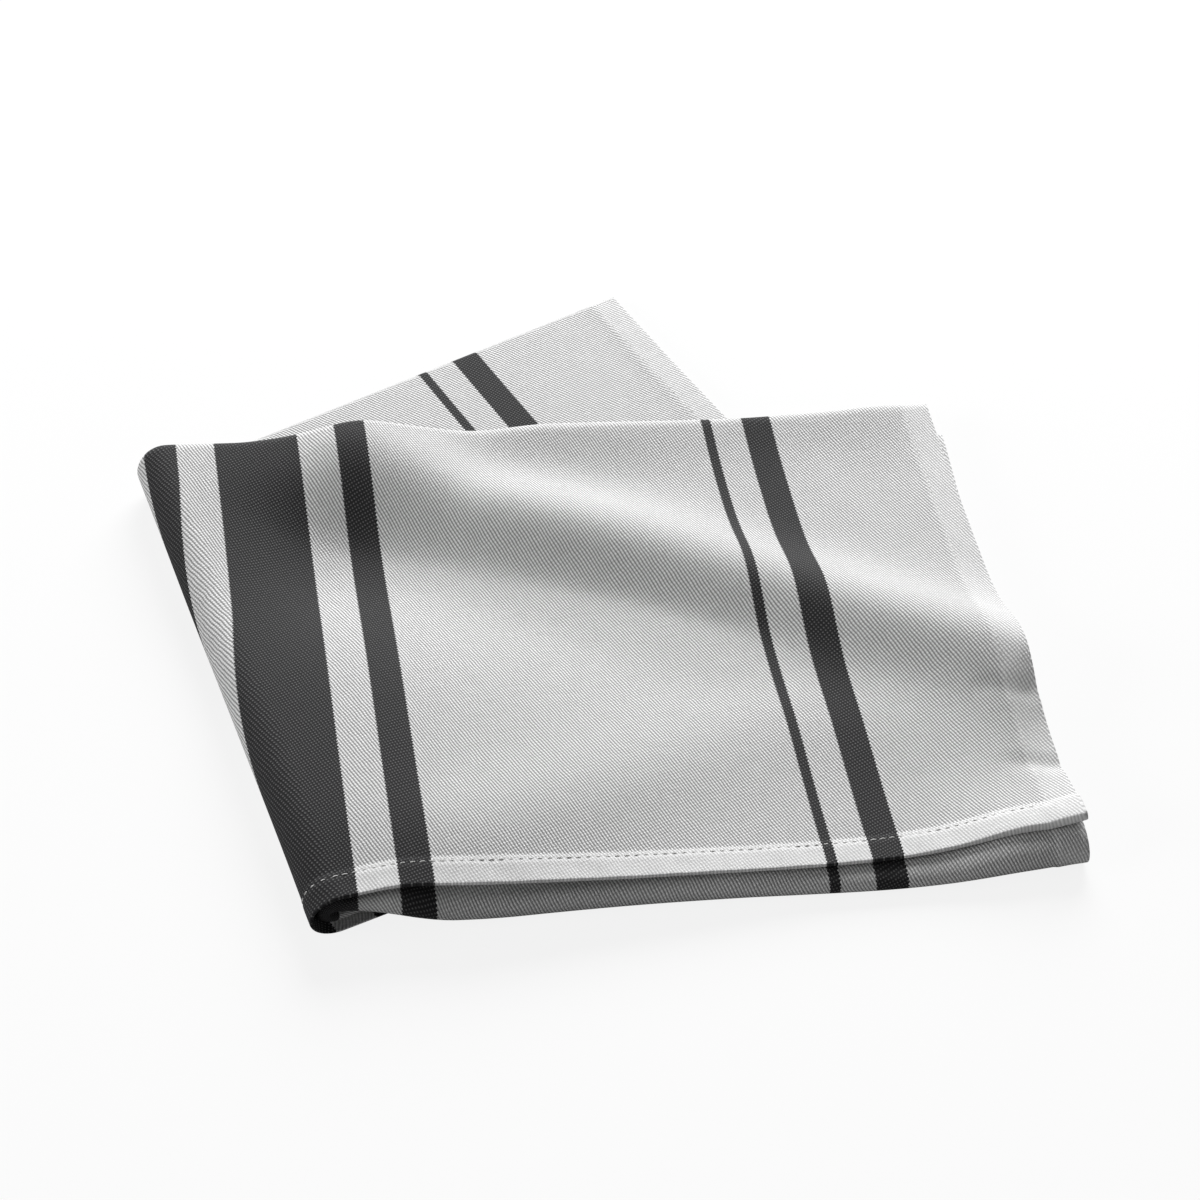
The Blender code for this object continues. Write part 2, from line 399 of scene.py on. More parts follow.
        middle_share = 0.5 * (1.0 - np.cos(np.pi * front_turn))
        slip = self.middle_shift * (front_turn > 0.0) * smooth_step(along, *self.shift_along)
        slip = slip * smooth_step(across, *self.shift_across)
        run = (
            (back - hem) * top + self.back_turn_cloth * back_turn + (back - front) * bottom
            + front_cloth * front_turn + middle_length * middle
        )
        return along, whole_level, middle_share, slip, run

    def drawn_in(self, across: Array, along: Array) -> Array:
        """How far the cloth is drawn to the right near the fold's back end.

        Args:
            across: Places across the sheet.
            along: Places along the packet.

        Returns:
            The distance at each place.
        """
        near_fold = 1.0 - smooth_step(across, *self.drawn_in_over)
        return self.drawn_in_by * near_fold * smooth_step(along, 0.0, self.back_turn_at)

    def folded(self, across: Array, shares: Array) -> Array:
        """Folded places of the sheet's middle surface.

        Args:
            across: Places across the sheet.
            shares: How much of each stretch is behind the point, one row per stretch.

        Returns:
            Points in the towel's frame, in millimetres, with a last axis of three.
        """
        along, whole_level, middle_share, slip, _ = self.packet_place(across, shares)
        across = across + self.drawn_in(across, along) + slip
        beside, onward = self.to_fold(across, along)
        bottom, top, middle_level = self.layer_heights(across, along)
        upper_height = bottom + (top - bottom) * (whole_level + middle_level * middle_share)

        level = whole_level + self.middle_level * middle_share
        bottom, top, _ = self.layer_heights(*self.from_fold(np.zeros_like(onward), onward))
        fold_height = bottom + (top - bottom) * level
        lower_height = 0.5 * self.solid_thickness + 2.0 * self.layer_pitch * (1.0 - level)

        reach = self.inner_reach + (self.outer_reach - self.inner_reach) * level
        cloth = self.inner_cloth + (self.outer_cloth - self.inner_cloth) * level
        angle = np.pi * np.clip(-beside / cloth, 0.0, 1.0)
        half = 0.5 * (fold_height - lower_height)
        bend_height = lower_height + half + half * np.cos(angle)

        on_upper = beside >= 0.0
        on_bend = ~on_upper & (-beside < cloth)
        beside = np.where(on_upper, beside, np.where(on_bend, -reach * np.sin(angle), -beside - cloth))
        height = np.where(on_upper, upper_height, np.where(on_bend, bend_height, lower_height))
        x, y = self.from_fold(beside, onward)
        return np.stack([x - self.middle_across, y - self.middle_along, height], axis=-1)


@dataclass(frozen=True)
class Surface:
    """Points of the sheet, with the direction outward and the two directions in the cloth there."""

    point: Array
    outward: Array
    rightward: Array
    onward: Array


@dataclass(frozen=True)
class SheetGrid:
    """The sheet's grid: where its columns and rows stand, closer together at hems, fold and turns."""

    fold: TowelFold
    fold_left: float = -26.0
    fold_right: float = 12.0
    columns: tuple[Band, ...] = (Band(10, -253.0), Band(24, -240.0), Band(34, -26.0),
                                 Band(76, 12.0), Band(14, 238.0))
    hem_rows: int = 16
    hem_rows_depth: float = 12.5
    rows: tuple[int, ...] = (120, 18, 60, 20, 34)
    step: float = 0.2
    row_step: float = 0.05

    def column_count(self) -> int:
        """How many faces the grid has across."""
        return sum(band.faces for band in self.columns)

    def row_count(self) -> int:
        """How many faces the grid has along."""
        return sum(self.rows)

    def shares(self, row: Array) -> Array:
        """How much of each stretch is behind each row: 0 before it, 1 past it.

        Args:
            row: Rows, which may lie between the grid's own.

        Returns:
            One row of shares per stretch.
        """
        starts = np.cumsum((0,) + self.rows)
        shares = [np.clip((row - start) / count, 0.0, 1.0) for start, count in zip(starts, self.rows)]
        close = self.hem_rows_depth / self.fold.back_turn_at
        count = self.rows[Stretch.TOP.value]
        shares[0] = np.interp(shares[0], [0.0, self.hem_rows / count, 1.0], [0.0, close, 1.0])
        return np.stack(shares)

    def across(self, column: Array, row: Array) -> Array:
        """Place across the sheet of each column, which follows the fold line near the fold.

        Args:
            column: Columns.
            row: Rows.

        Returns:
            The place across at each point.
        """
        starts = np.cumsum([0] + [band.faces for band in self.columns])
        places = [band.start for band in self.columns] + [self.fold.right_edge]
        across = np.interp(column, starts, places)
        along = self.fold.packet_place(across, self.shares(row))[0]
        left = (across - self.fold.left_edge) / (self.fold_left - self.fold.left_edge)
        right = (self.fold.right_edge - across) / (self.fold.right_edge - self.fold_right)
        near = np.clip(np.minimum(left, right), 0.0, 1.0)
        return across - np.tan(self.fold.fold_lean) * along * near

    def surface(self, across: Array, row: Array) -> Surface:
        """The folded sheet at any places on it, with directions from small differences either way.

        Args:
            across: Places across the sheet.
            row: Rows, which may lie between the grid's own.

        Returns:
            The points and their directions.
        """
        last = float(self.row_count())
        point = self.fold.folded(across, self.shares(row))
        right = self.fold.folded(across + self.step, self.shares(row))
        left = self.fold.folded(across - self.step, self.shares(row))
        after = self.fold.folded(across, self.shares(np.minimum(row + self.row_step, last)))
        before = self.fold.folded(across, self.shares(np.maximum(row - self.row_step, 0.0)))
        rightward, onward = unit(right - left), unit(after - before)
        return Surface(point, unit(np.cross(rightward, onward)), rightward, onward)

    def row_of(self, run: Array) -> Array:
        """The row at a place on the top layer.

        Args:
            run: Distance from the front hem.

        Returns:
            The row, which may lie between the grid's own.
        """
        count = self.rows[Stretch.TOP.value]
        close = self.hem_rows_depth / self.fold.back_turn_at
        return np.interp(run / self.fold.back_turn_at, [0.0, close, 1.0], [0.0, self.hem_rows, count])


def new_mesh(name: str, points: Array, faces: list[list[int]]) -> bpy.types.Object:
    """A mesh object at the origin, shaded smooth. Points under the floor are lifted onto it.

    Args:
        name: Name of the object and its mesh.
        points: Points in millimetres.
        faces: Corner indices, one row per face.

    Returns:
        The object, linked to the scene.
    """
    above_floor = np.maximum(points, [-np.inf, -np.inf, 0.0])
    mesh = bpy.data.meshes.new(name)
    mesh.from_pydata((above_floor * MM).tolist(), [], faces)
    mesh.shade_smooth()
    piece = bpy.data.objects.new(name, mesh)
    bpy.context.scene.collection.objects.link(piece)
    return piece


def grid_faces(rows: int, columns: int, closed: bool = False) -> Array:
    """Corner indices of a grid's faces, row after row.

    Args:
        rows: Points in each column.
        columns: Points in each row.
        closed: Whether the last column joins the first.

    Returns:
        One row of four corners per face.
    """
    index = np.arange(rows * columns).reshape(rows, columns)
    if closed:
        index = np.concatenate([index, index[:, :1]], axis=1)
    corners = [index[:-1, :-1], index[:-1, 1:], index[1:, 1:], index[1:, :-1]]
    return np.stack([corner.ravel() for corner in corners], axis=1)


@dataclass(frozen=True)
class TowelSheet:
    """The cloth itself: a thin closed sheet with thicker hems and a groove under the front stitches."""

    grid: SheetGrid
    half_thickness: float = 0.42
    hem_edge: Span = Span(9.6, 10.9)
    stitch_line: float = 9.0
    hem_rise: float = 0.75
    side_share: float = 0.4
    underside_thinning: float = 0.7
    puff: float = 0.22
    puff_length: float = 17.0
    puff_slant: float = 0.7
    puff_seed: int = 3
    groove_depth: float = 0.35
    groove_width: float = 0.8
    corner_roll: float = 2.0
    corner_from: float = 195.0
    rim_rings: int = 5
    rim_squareness: float = 0.6
    rim_reach: float = 0.6

    def from_edge(self, across: Array, run: Array) -> Array:
        """How far inside the sheet a place is: the least of its distances from the four edges.

        Args:
            across: Places across the sheet.
            run: Places along the sheet, from its front hem.

        Returns:
            The distance at each place.
        """
        fold = self.grid.fold
        sides = [across - fold.left_edge, fold.right_edge - across]
        return np.minimum.reduce(sides + [run, fold.length - run])

    def hem_share(self, inside: Array) -> Array:
        """1 inside the hems and 0 on the single cloth, falling over the last millimetre."""
        return 1.0 - smooth_step(inside, *self.hem_edge)

    def groove(self, inside: Array) -> Array:
        """Depth of the soft groove that the stitches draw in: a bell about their line."""
        off = (inside - self.stitch_line) / self.groove_width
        return self.groove_depth * np.exp(-off * off)

    def build(self) -> bpy.types.Object:
        """Make the sheet: both faces are offset from the folded middle surface, and a round rim joins them.

        Returns:
            The sheet, with a UV map in metres of flat cloth and an attribute that marks the hems.
        """
        columns, rows = self.grid.column_count() + 1, self.grid.row_count() + 1
        row, column = np.indices((rows, columns), dtype=float)
        across = self.grid.across(column, row)
        surface = self.grid.surface(across, row)
        along, whole_level, _, _, run = self.grid.fold.packet_place(across, self.grid.shares(row))

        inside = self.from_edge(across, run)
        front = whole_level**2 * self.hem_share(run)
        hem = np.maximum(front, self.side_share * self.hem_share(inside))
        open_side = 1.0 - self.grid.fold.underside(across, along, whole_level)
        puff = 1.0 + self.puff * ripple(across + self.puff_slant * run, self.puff_length, self.puff_seed)
        upper = self.half_thickness + self.hem_rise * puff * hem * open_side - self.groove(inside) * front
        corner = front * smooth_step(across, self.corner_from, self.grid.fold.right_edge)
        lower = self.half_thickness * (1.0 - self.underside_thinning * front) + self.corner_roll * corner
        outer_face = surface.point + surface.outward * upper[..., None]
        inner_face = surface.point - surface.outward * lower[..., None]

        index = np.arange(rows * columns).reshape(rows, columns)
        loop = np.concatenate([index[0, :-1], index[:-1, -1], index[-1, :0:-1], index[:0:-1, 0]])
        outer_edge, inner_edge = outer_face.reshape(-1, 3)[loop], inner_face.reshape(-1, 3)[loop]
        middle, half = 0.5 * (outer_edge + inner_edge), 0.5 * (outer_edge - inner_edge)
        tangent = unit(np.roll(middle, -1, axis=0) - np.roll(middle, 1, axis=0))
        aside = np.cross(tangent, half)
        angles = np.pi * (0.5 - np.arange(1, self.rim_rings + 1) / (self.rim_rings + 1))
        across_rim = np.sign(np.sin(angles)) * np.abs(np.sin(angles)) ** self.rim_squareness
        out_of_rim = self.rim_reach * np.abs(np.cos(angles)) ** self.rim_squareness
        rim = [middle + half * up + aside * out for up, out in zip(across_rim, out_of_rim)]

        points = np.concatenate([outer_face.reshape(-1, 3), inner_face.reshape(-1, 3)] + rim)
        count = rows * columns
        starts = 2 * count + len(loop) * np.arange(self.rim_rings)
        rings = [loop] + [start + np.arange(len(loop)) for start in starts] + [loop + count]
        faces = [grid_faces(rows, columns), grid_faces(rows, columns)[:, ::-1] + count]
        for first, second in zip(rings[:-1], rings[1:]):
            faces.append(np.stack([first, second, np.roll(second, -1), np.roll(first, -1)], axis=1))
        sheet = new_mesh("towel_cloth", points, np.concatenate(faces).tolist())

        flat = np.stack([across, run], axis=-1).reshape(-1, 2)
        source = np.concatenate([np.arange(count), np.arange(count)] + [loop] * self.rim_rings)
        self.map_cloth(sheet, flat[source], hem.ravel()[source])
        return sheet

    def map_cloth(self, sheet: bpy.types.Object, flat: Array, hem: Array) -> None:
        """Give each corner its place on the flat cloth, and each point its hem share.

        Args:
            sheet: The cloth's object.
            flat: Place across and along the flat sheet for each point.
            hem: Hem share for each point.
        """
        mesh = sheet.data
        corner = np.empty(len(mesh.loops), dtype=np.int32)
        mesh.loops.foreach_get("vertex_index", corner)
        cloth_map = mesh.uv_layers.new(name="flat_cloth")
        cloth_map.data.foreach_set("uv", (flat[corner] * MM).astype(np.float32).ravel())
        share = mesh.attributes.new("hem_share", "FLOAT", "POINT")
        share.data.foreach_set("value", hem.astype(np.float32))


@dataclass(frozen=True)
class StitchLines:
    """Lock stitches along the hems: short rounded threads that dip into the cloth at both ends."""

    grid: SheetGrid
    cloth: TowelSheet
    pitch: float = 3.1
    stitch_length: float = 2.3
    radius: float = 0.26
    arch: float = 0.26
    sink: float = 0.15
    underside_sink: float = 0.75
    end_fullness: float = 1.05
    turn_spread: float = 0.07
    length_spread: Span = Span(0.88, 1.08)
    lift_spread: Span = Span(0.85, 1.15)
    side_line_end: float = 4.0
    under_line: Span = Span(6.0, 225.0)
    front_rise: float = 0.5
    side_rise: float = 0.1
    seeds: tuple[int, int, int] = (11, 12, 13)
    sections: int = 6
    sides: int = 6

    def build(self) -> bpy.types.Object:
        """Make the stitches of the top layer's front and side hems and of the lower half's side hem.

        Returns:
            One joined mesh.
        """
        fold, inset = self.grid.fold, self.cloth.stitch_line
        left, right = fold.left_edge + inset, fold.right_edge - inset
        front = self.places(left, right)
        front_row = self.grid.row_of(np.full_like(front, inset))
        side_row = self.grid.row_of(self.places(inset, fold.back_turn_at - self.side_line_end))
        bottom_start = self.grid.rows[Stretch.TOP.value] + self.grid.rows[Stretch.BACK_TURN.value]
        bottom_rows = self.grid.rows[Stretch.BOTTOM.value]
        under_row = bottom_start + bottom_rows * self.places(*self.under_line) / fold.back_turn_at
        front_seed, side_seed, under_seed = self.seeds
        lines = [
            self.stitches(front, front_row, False, self.front_rise, front_seed),
            self.stitches(np.full_like(side_row, right), side_row, True, self.side_rise, side_seed),
            self.stitches(np.full_like(under_row, left), under_row, True, self.side_rise, under_seed),
        ]
        return self.joined("hem_stitches", np.concatenate(lines))

    def places(self, start: float, end: float) -> Array:
        """Middles of the stitches between two places on a hem."""
        count = int((end - start) / self.pitch)
        return start + self.pitch * (0.5 + np.arange(count))

    def stitches(self, across: Array, row: Array, along_row: bool, rise: float, seed: int) -> Array:
        """Points of one line's stitches: an arch of rounded cross-sections on the cloth at each place.

        Args:
            across: Place across the sheet of each stitch.
            row: Row of each stitch.
            along_row: Whether the line runs along the sheet instead of across it.
            rise: How much of the front hem's rise the cloth has under the line.
            seed: Seed of the stitches' small differences.

        Returns:
            Points by stitch, section and side.
        """
        random = np.random.default_rng(seed)
        surface = self.grid.surface(across, row)
        forward = surface.onward if along_row else surface.rightward
        sideways = np.cross(surface.outward, forward)
        turn = random.normal(0.0, self.turn_spread, len(across))[:, None]
        forward, sideways = forward + turn * sideways, sideways - turn * forward
        length = self.stitch_length * random.uniform(*self.length_spread, len(across))
        lift = self.arch * random.uniform(*self.lift_spread, len(across))
        along, whole_level, _, _, _ = self.grid.fold.packet_place(across, self.grid.shares(row))
        sunk = self.underside_sink * self.grid.fold.underside(across, along, whole_level)
        base = self.cloth.half_thickness + rise * self.cloth.hem_rise - self.sink - sunk

        length, lift, base = (size[:, None, None, None] for size in (length, lift, base))
        point, outward, forward, sideways = (
            part[:, None, None, :] for part in (surface.point, surface.outward, forward, sideways)
        )
        place = np.linspace(-1.0, 1.0, self.sections)[None, :, None, None]
        angle = (2.0 * np.pi * np.arange(self.sides) / self.sides)[None, None, :, None]
        width = self.radius * np.sqrt(np.clip(self.end_fullness - place**2, 0.0, 1.0))
        centre = point + forward * (0.5 * length * place) + outward * (base + lift * (1.0 - place**2))
        return centre + (sideways * np.cos(angle) + outward * np.sin(angle)) * width

    def joined(self, name: str, points: Array) -> bpy.types.Object:
        """One mesh from many like tubes, with their ends closed.

        Args:
            name: Name of the piece.
            points: Points by tube, section and side.

        Returns:
            The piece.
        """
        count, sections, sides, _ = points.shape
        walls = grid_faces(sections, sides, closed=True)[:, ::-1]
        tube = sections * sides
        starts = np.arange(count) * tube
        faces = (starts[:, None, None] + walls[None]).reshape(-1, 4).tolist()
        first_cap = np.arange(sides)
        for cap in (first_cap, tube - 1 - first_cap):
            faces += (starts[:, None] + cap).tolist()
        return new_mesh(name, points.reshape(-1, 3), faces)


class Graph:
    """A short way to write shader nodes: each call adds one node and gives back its output."""

    def __init__(self, tree: bpy.types.NodeTree) -> None:
        """Write into this node tree."""
        self.tree = tree

    def node(self, kind: str, **settings: object) -> bpy.types.Node:
        """Add a node.

        Args:
            kind: The node's type.
            settings: Its properties by name.

        Returns:
            The node.
        """
        made = self.tree.nodes.new(kind)
        for name, value in settings.items():
            setattr(made, name, value)
        return made

    def feed(self, target: Socket, value: "Socket | float | tuple") -> None:
        """Link an output to an input, or set the input's own value.

        Args:
            target: The input.
            value: The output, or the number or colour.
        """
        if isinstance(value, bpy.types.NodeSocket):
            self.tree.links.new(value, target)
        else:
            target.default_value = value

    def math(self, operation: str, *values: "Socket | float", clamp: bool = False) -> Socket:
        """One Math node.

        Args:
            operation: Name of the operation.
            values: Its inputs in order, outputs of other nodes or numbers.
            clamp: Whether the result is held between 0 and 1.

        Returns:
            The node's output.
        """
        made = self.node("ShaderNodeMath", operation=operation, use_clamp=clamp)
        for target, value in zip(made.inputs, values):
            self.feed(target, value)
        return made.outputs[0]

    def wave(self, across: Socket, along: Socket, per_across: float, per_along: float,
             shift: Socket) -> Socket:
        """A cosine wave from 0 to 1 over the flat cloth.

        Args:
            across: Place across, in millimetres.
            along: Place along, in millimetres.
            per_across: Waves in each millimetre across.
            per_along: Waves in each millimetre along.
            shift: Added to the wave's turn count.

        Returns:
            The wave's value.
        """
        turns = self.math("ADD", self.math("MULTIPLY", across, per_across),
                          self.math("MULTIPLY", along, per_along))
        turns = self.math("ADD", turns, shift)
        cosine = self.math("COSINE", self.math("MULTIPLY", turns, 2.0 * np.pi))
        return self.math("MULTIPLY_ADD", cosine, 0.5, 0.5)

    def noise(self, vector: Socket, scale: "Socket | float", detail: float = 2.0) -> Socket:
        """A Noise Texture's value from 0 to 1, centred on a half.

        Args:
            vector: Place in the pattern.
            scale: How closely its spots stand.
            detail: How many finer layers it has.

        Returns:
            The value.
        """
        made = self.node("ShaderNodeTexNoise")
        self.feed(made.inputs["Vector"], vector)
        self.feed(made.inputs["Scale"], scale)
        made.inputs["Detail"].default_value = detail
        return made.outputs["Fac"]

    def stretched(self, vector: Socket, scale: Scales) -> Socket:
        """A vector with each axis scaled.

        Args:
            vector: The vector.
            scale: A factor for each axis.

        Returns:
            The scaled vector.
        """
        made = self.node("ShaderNodeMapping")
        self.feed(made.inputs["Vector"], vector)
        made.inputs["Scale"].default_value = scale
        return made.outputs["Vector"]

    def mix(self, share: "Socket | float", first: "Socket | Colour", second: "Socket | Colour",
            blend: Blend = Blend.MIX) -> Socket:
        """A share of a second colour in a first one.

        Args:
            share: How much the second colour counts, from 0 to 1.
            first: The first colour.
            second: The second colour.
            blend: How the second colour acts on the first.

        Returns:
            The mixed colour.
        """
        made = self.node("ShaderNodeMix", data_type="RGBA", blend_type=blend.value)
        self.feed(made.inputs[0], share)
        self.feed(made.inputs[MIX_FIRST], first)
        self.feed(made.inputs[MIX_SECOND], second)
        return made.outputs[MIX_RESULT]

    def bump(self, height: Socket, depth: float) -> Socket:
        """A Normal from a height.

        Args:
            height: The height.
            depth: How deep a height of 1 is, in metres.

        Returns:
            The Normal.
        """
        made = self.node("ShaderNodeBump")
        made.inputs["Strength"].default_value = 1.0
        made.inputs["Distance"].default_value = depth
        self.feed(made.inputs["Height"], height)
        return made.outputs["Normal"]

    def plain_shader(self, kind: str, colour: Colour) -> Socket:
        """A shader of one colour.

        Args:
            kind: The shader node's type.
            colour: Its colour.

        Returns:
            The shader.
        """
        made = self.node(kind)
        made.inputs["Color"].default_value = colour
        return made.outputs[0]

    def mix_shaders(self, share: "Socket | float", first: Socket, second: Socket) -> Socket:
        """A shader between two shaders.

        Args:
            share: How much the second one counts, from 0 to 1.
            first: The first shader.
            second: The second shader.

        Returns:
            The mixed shader.
        """
        made = self.node("ShaderNodeMixShader")
        for target, value in zip(made.inputs, (share, first, second)):
            self.feed(target, value)
        return made.outputs[0]

    def group(self, tree: bpy.types.NodeTree, **values: "Socket | float") -> bpy.types.Node:
        """Place a node group and feed its inputs.

        Args:
            tree: The group.
            values: What each input gets, by its name with underscores for spaces.

        Returns:
            The group's node.
        """
        made = self.node("ShaderNodeGroup", node_tree=tree)
        for name, value in values.items():
            self.feed(made.inputs[name.replace("_", " ")], value)
        return made


def fibre_group() -> bpy.types.NodeTree:
    """The node group for cotton fibre: a fine uneven fuzz that both the cloth and the thread carry.

    Returns:
        The group, with a height and a colour factor as outputs.
    """
    tree = bpy.data.node_groups.new("cotton_fibre", "ShaderNodeTree")
    tree.interface.new_socket("Place", in_out="INPUT", socket_type="NodeSocketVector")
    for name in ("Fineness", "Unevenness"):
        tree.interface.new_socket(name, in_out="INPUT", socket_type="NodeSocketFloat")
    for name in ("Height", "Tint"):
        tree.interface.new_socket(name, in_out="OUTPUT", socket_type="NodeSocketFloat")
    graph = Graph(tree)
    given = graph.node("NodeGroupInput")
    result = graph.node("NodeGroupOutput")
    fuzz = graph.noise(given.outputs["Place"], given.outputs["Fineness"], detail=3.0)
    tint = graph.math("MULTIPLY_ADD", graph.math("SUBTRACT", fuzz, 0.5), given.outputs["Unevenness"], 1.0)
    graph.feed(result.inputs["Height"], fuzz)
    graph.feed(result.inputs["Tint"], tint)
    return tree


@dataclass(frozen=True)
class TwillFinish:
    """Yarn-dyed cotton twill: steep diagonal ribs with painted shade in the gaps between them, and light
    weft specks showing in the dark stripes.
    """

    fibre: bpy.types.NodeTree
    light: Colour = (0.80, 0.80, 0.80, 1.0)
    # The gap colour is painted shade: the grooves between the light cloth's floats are painted darker.
    gap: Colour = (0.22, 0.22, 0.22, 1.0)
    gap_shade_sharpness: float = 1.6
    dark: Colour = (0.017, 0.017, 0.018, 1.0)
    speck: Colour = (0.15, 0.15, 0.15, 1.0)
    speck_sharpness: float = 2.2
    rib_across: float = 0.87
    rib_along: float = 0.38
    rib_height: float = 0.16
    pick_across: float = 0.31
    pick_along: float = -0.74
    pick_depth: float = 0.45
    drift: float = 0.9
    drift_scale: float = 0.12
    warp_slub: Scales = (1.6, 0.10, 1.0)
    weft_slub: Scales = (0.07, 1.4, 1.0)
    slub_depth: float = 0.22
    hem_calming: float = 0.35
    tooth: float = 0.45
    fuzz_fineness: float = 2.2
    fuzz_unevenness: float = 0.35
    fuzz_height: float = 0.3
    roughness: float = 0.92
    specular: float = 0.2
    sheen: float = 0.04
    sheen_roughness: float = 0.5

    def make(self) -> bpy.types.Material:
        """Write the material on the cloth's own flat map.

        Returns:
            The material.
        """
        material = bpy.data.materials.new("striped_twill")
        material.use_nodes = True
        tree = material.node_tree
        graph = Graph(tree)
        shader = tree.nodes["Principled BSDF"]

        flat = graph.node("ShaderNodeUVMap", uv_map="flat_cloth").outputs["UV"]
        millimetres = graph.stretched(flat, (1.0 / MM, 1.0 / MM, 1.0 / MM))
        split = graph.node("ShaderNodeSeparateXYZ")
        graph.feed(split.inputs[0], millimetres)
        across, along = split.outputs["X"], split.outputs["Y"]
        hem = graph.node("ShaderNodeAttribute", attribute_name="hem_share").outputs["Fac"]

        drift = graph.noise(millimetres, self.drift_scale)
        drift = graph.math("MULTIPLY_ADD", drift, self.drift, -0.5 * self.drift)
        rib = graph.wave(across, along, self.rib_across, self.rib_along, drift)
        pick = graph.wave(across, along, self.pick_across, self.pick_along, drift)
        picked = graph.math("MULTIPLY_ADD", pick, self.pick_depth, 1.0 - self.pick_depth)
        floats = graph.math("MULTIPLY", rib, picked)

        warp_slub = graph.noise(graph.stretched(millimetres, self.warp_slub), 1.0)
        weft_slub = graph.noise(graph.stretched(millimetres, self.weft_slub), 1.0)
        slub = graph.math("ADD", warp_slub, weft_slub)
        slub = graph.math("MULTIPLY_ADD", slub, self.slub_depth, 1.0 - self.slub_depth)

        # Painted gap shade: the light cloth is darkened between its floats. On the hems this painted shade
        # and the ribs are weaker, so the hems look lighter.
        contrast = graph.math("MULTIPLY_ADD", hem, -self.hem_calming, 1.0)
        painted_gap_shade = graph.math("MULTIPLY", graph.math("SUBTRACT", 1.0, floats), contrast)
        light = graph.mix(graph.math("POWER", painted_gap_shade, self.gap_shade_sharpness), self.light, self.gap)
        specks = graph.math("POWER", graph.math("MULTIPLY", rib, pick), self.speck_sharpness, clamp=True)
        dark = graph.mix(specks, self.dark, self.speck)
        colour = graph.mix(self.stripes(graph, across, pick), light, dark)

        fibre = graph.group(self.fibre, Place=millimetres, Fineness=self.fuzz_fineness,
                            Unevenness=self.fuzz_unevenness)
        tint = graph.math("MULTIPLY", slub, fibre.outputs["Tint"])
        grey = graph.node("ShaderNodeCombineColor")
        for target in grey.inputs[:3]:
            graph.feed(target, tint)
        graph.feed(shader.inputs["Base Color"], graph.mix(1.0, colour, grey.outputs[0], Blend.MULTIPLY))

        ribs = graph.math("MULTIPLY", floats, contrast)
        height = graph.math("MULTIPLY_ADD", fibre.outputs["Height"], self.fuzz_height, ribs)
        graph.feed(shader.inputs["Normal"], graph.bump(height, self.rib_height * MM))
        shader.inputs["Roughness"].default_value = self.roughness
        shader.inputs["Specular IOR Level"].default_value = self.specular
        shader.inputs["Sheen Weight"].default_value = self.sheen
        shader.inputs["Sheen Roughness"].default_value = self.sheen_roughness
        return material

    def stripes(self, graph: Graph, across: Socket, pick: Socket) -> Socket:
        """1 on the dark stripes and 0 between them, with edges toothed by the weave.

        Args:
            graph: The material's graph.
            across: Place across, in millimetres.
            pick: The weft wave from 0 to 1, which shifts the edges.

        Returns:
            The mask.
        """
        teeth = graph.math("MULTIPLY_ADD", pick, self.tooth, -0.5 * self.tooth)
        distance = graph.math("ABSOLUTE", graph.math("ADD", across, teeth))
        mask: "Socket | float" = 0.0
        for stripe in STRIPES:
            inside = graph.math("COMPARE", distance, stripe.middle, 0.5 * stripe.width)
            mask = graph.math("MAXIMUM", mask, inside)
        return mask


@dataclass(frozen=True)
class ThreadFinish:
    """Off-white sewing cotton."""

    fibre: bpy.types.NodeTree
    colour: Colour = (0.62, 0.62, 0.61, 1.0)
    colour_spread: float = 0.25
    fuzz_fineness: float = 4000.0
    fuzz_height: float = 0.06
    roughness: float = 0.8

    def make(self) -> bpy.types.Material:
        """Write the material on object coordinates.

        Returns:
            The material.
        """
        material = bpy.data.materials.new("sewing_cotton")
        material.use_nodes = True
        graph = Graph(material.node_tree)
        shader = material.node_tree.nodes["Principled BSDF"]
        place = graph.node("ShaderNodeTexCoord").outputs["Object"]
        fuzz = graph.group(self.fibre, Place=place, Fineness=self.fuzz_fineness).outputs["Height"]
        darker, paler = (
            tuple(share * part for part in self.colour[:3]) + (1.0,)
            for share in (1.0 - self.colour_spread, 1.0 + self.colour_spread)
        )
        graph.feed(shader.inputs["Base Color"], graph.mix(fuzz, darker, paler))
        graph.feed(shader.inputs["Normal"], graph.bump(fuzz, self.fuzz_height * MM))
        shader.inputs["Roughness"].default_value = self.roughness
        return material


class Lamp(NamedTuple):
    """A soft lamp: its direction from the back towards the right and its height, both in degrees."""

    name: str
    azimuth: float
    elevation: float
    watts: float


LAMPS = (
    Lamp("soft_key", 19, 30, 105),
    Lamp("soft_side", -95, 14, 36),
    Lamp("soft_front", 143, 10, 7),
)


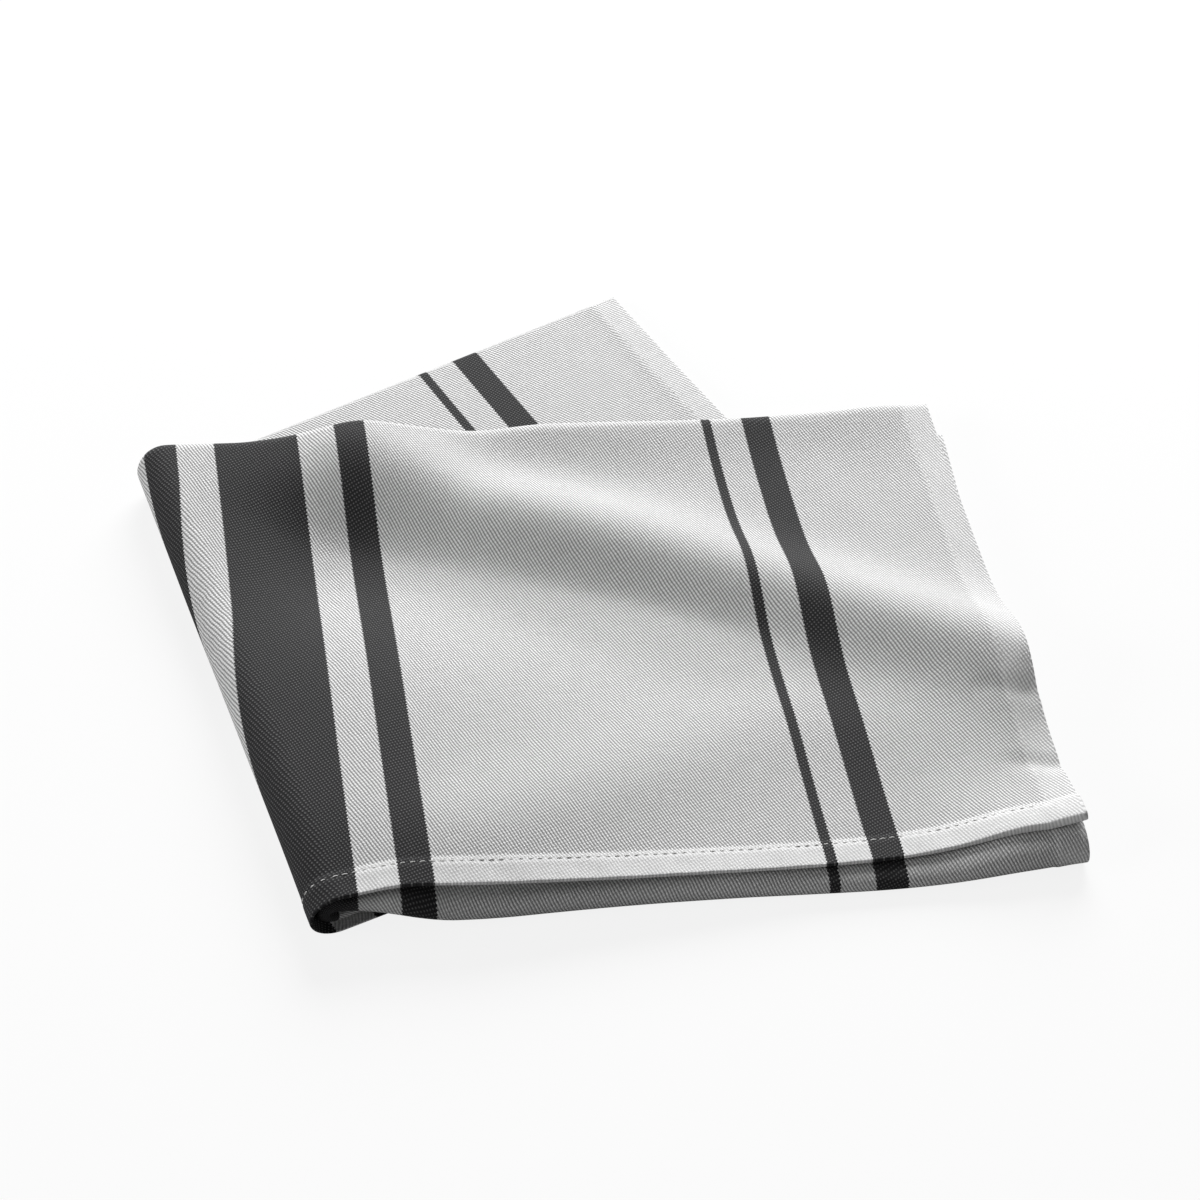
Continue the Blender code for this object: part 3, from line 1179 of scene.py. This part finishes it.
@dataclass(frozen=True)
class Studio:
    """A pale floor, a broad soft light from behind and above, two weak ones, an even fill and the camera."""

    camera_at: tuple[float, float, float] = (-0.1403, -0.9500, 0.8299)
    camera_tilt: float = 49.0
    camera_turn: float = -9.02
    lens: float = 108.0
    sensor: float = 36.0
    lamp_distance: float = 2.2
    lamp_size: float = 1.6
    fill_strength: float = 0.045
    fill_colour: Colour = (1.0, 1.0, 1.0, 1.0)
    floor_size: float = 30.0
    floor_glow: Colour = (0.97, 0.97, 0.97, 1.0)
    floor_lit: Colour = (0.93, 0.93, 0.93, 1.0)
    floor_lit_share: float = 0.12
    floor_as_reflector: Colour = (0.35, 0.35, 0.35, 1.0)

    def floor(self) -> None:
        """Lay the pale surface: bright where the camera sees it, and less bright as a reflector."""
        bpy.ops.mesh.primitive_plane_add(size=self.floor_size, location=(0.0, 0.0, 0.0))
        plane = bpy.context.active_object
        plane.name = "studio_floor"
        material = bpy.data.materials.new("pale_floor")
        material.use_nodes = True
        tree = material.node_tree
        tree.nodes.clear()
        graph = Graph(tree)
        seen = graph.node("ShaderNodeLightPath").outputs["Is Camera Ray"]
        glow = graph.plain_shader("ShaderNodeEmission", self.floor_glow)
        lit = graph.plain_shader("ShaderNodeBsdfDiffuse", self.floor_lit)
        pale = graph.mix_shaders(self.floor_lit_share, glow, lit)
        plain = graph.plain_shader("ShaderNodeBsdfDiffuse", self.floor_as_reflector)
        output = graph.node("ShaderNodeOutputMaterial")
        graph.feed(output.inputs["Surface"], graph.mix_shaders(seen, plain, pale))
        plane.data.materials.append(material)

    def light(self) -> None:
        """Hang round soft lamps that face the towel, and set the even fill."""
        for lamp in LAMPS:
            data = bpy.data.lights.new(lamp.name, "AREA")
            data.shape = "DISK"
            data.size = self.lamp_size
            data.energy = lamp.watts
            hung = bpy.data.objects.new(lamp.name, data)
            azimuth, elevation = np.radians((lamp.azimuth, lamp.elevation))
            flat = np.cos(elevation)
            towards = Vector((flat * np.sin(azimuth), flat * np.cos(azimuth), np.sin(elevation)))
            hung.location = towards * self.lamp_distance
            hung.rotation_euler = towards.to_track_quat("Z", "Y").to_euler()
            bpy.context.scene.collection.objects.link(hung)
        world = bpy.data.worlds.new("studio_fill")
        world.use_nodes = True
        background = world.node_tree.nodes["Background"]
        background.inputs["Color"].default_value = self.fill_colour
        background.inputs["Strength"].default_value = self.fill_strength
        bpy.context.scene.world = world

    def camera(self) -> None:
        """Set the camera that looks down at the towel."""
        data = bpy.data.cameras.new("camera")
        data.lens = self.lens
        data.sensor_width = self.sensor
        camera = bpy.data.objects.new("camera", data)
        camera.location = self.camera_at
        camera.rotation_euler = np.radians((self.camera_tilt, 0.0, self.camera_turn))
        bpy.context.scene.collection.objects.link(camera)
        bpy.context.scene.camera = camera
        bpy.context.scene.view_settings.view_transform = "Standard"


def main() -> None:
    """Build the towel, its stitches and the studio in order."""
    logging.basicConfig(level=logging.INFO, format="%(name)s: %(message)s")
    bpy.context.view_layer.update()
    grid = SheetGrid(TowelFold())
    fibre = fibre_group()

    cloth = TowelSheet(grid)
    sheet = cloth.build()
    sheet.data.materials.append(TwillFinish(fibre).make())
    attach(sheet, "root")
    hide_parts("towel")
    LOG.info("cloth: %d points, %d faces", len(sheet.data.vertices), len(sheet.data.polygons))

    stitches = StitchLines(grid, cloth).build()
    stitches.data.materials.append(ThreadFinish(fibre).make())
    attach(stitches, "root")
    LOG.info("stitches: %d faces", len(stitches.data.polygons))

    studio = Studio()
    studio.floor()
    studio.light()
    studio.camera()
    LOG.info("studio: floor, three soft lights, fill and camera")


if __name__ == "__main__":
    main()
